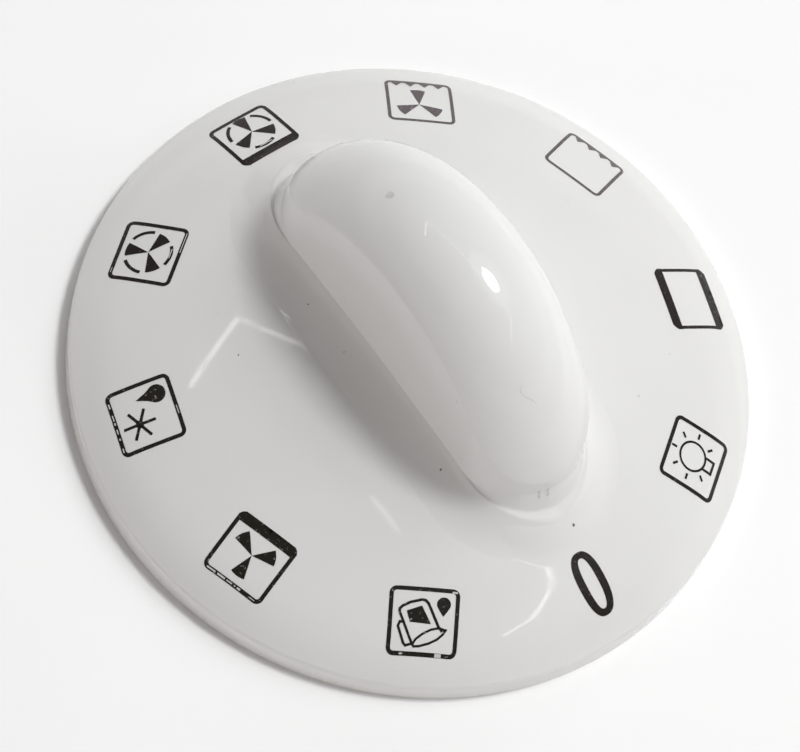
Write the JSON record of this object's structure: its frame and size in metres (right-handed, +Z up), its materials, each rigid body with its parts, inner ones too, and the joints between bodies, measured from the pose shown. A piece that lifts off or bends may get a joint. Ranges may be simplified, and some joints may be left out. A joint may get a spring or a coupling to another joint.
{
  "type": "oven control knob",
  "caption": "White oven selector knob with a half-moon grip on a domed round skirt, printed with cooking mode symbols, and a sprung D socket underneath.",
  "frame": {"origin": "centre of the rim's underside, on the shaft axis", "axes": "+Z up along the shaft axis through the grip, Y along the grip with the off symbol at -Y, X across the grip"},
  "size_m": [0.06, 0.06, 0.0263],
  "materials": {
    "white_plastic": "gloss, lightly worn",
    "spring_steel": "satin"
  },
  "bodies": {
    "root": {"knob_body": "white_plastic", "shaft_spring": "spring_steel"}
  },
  "joints": []
}
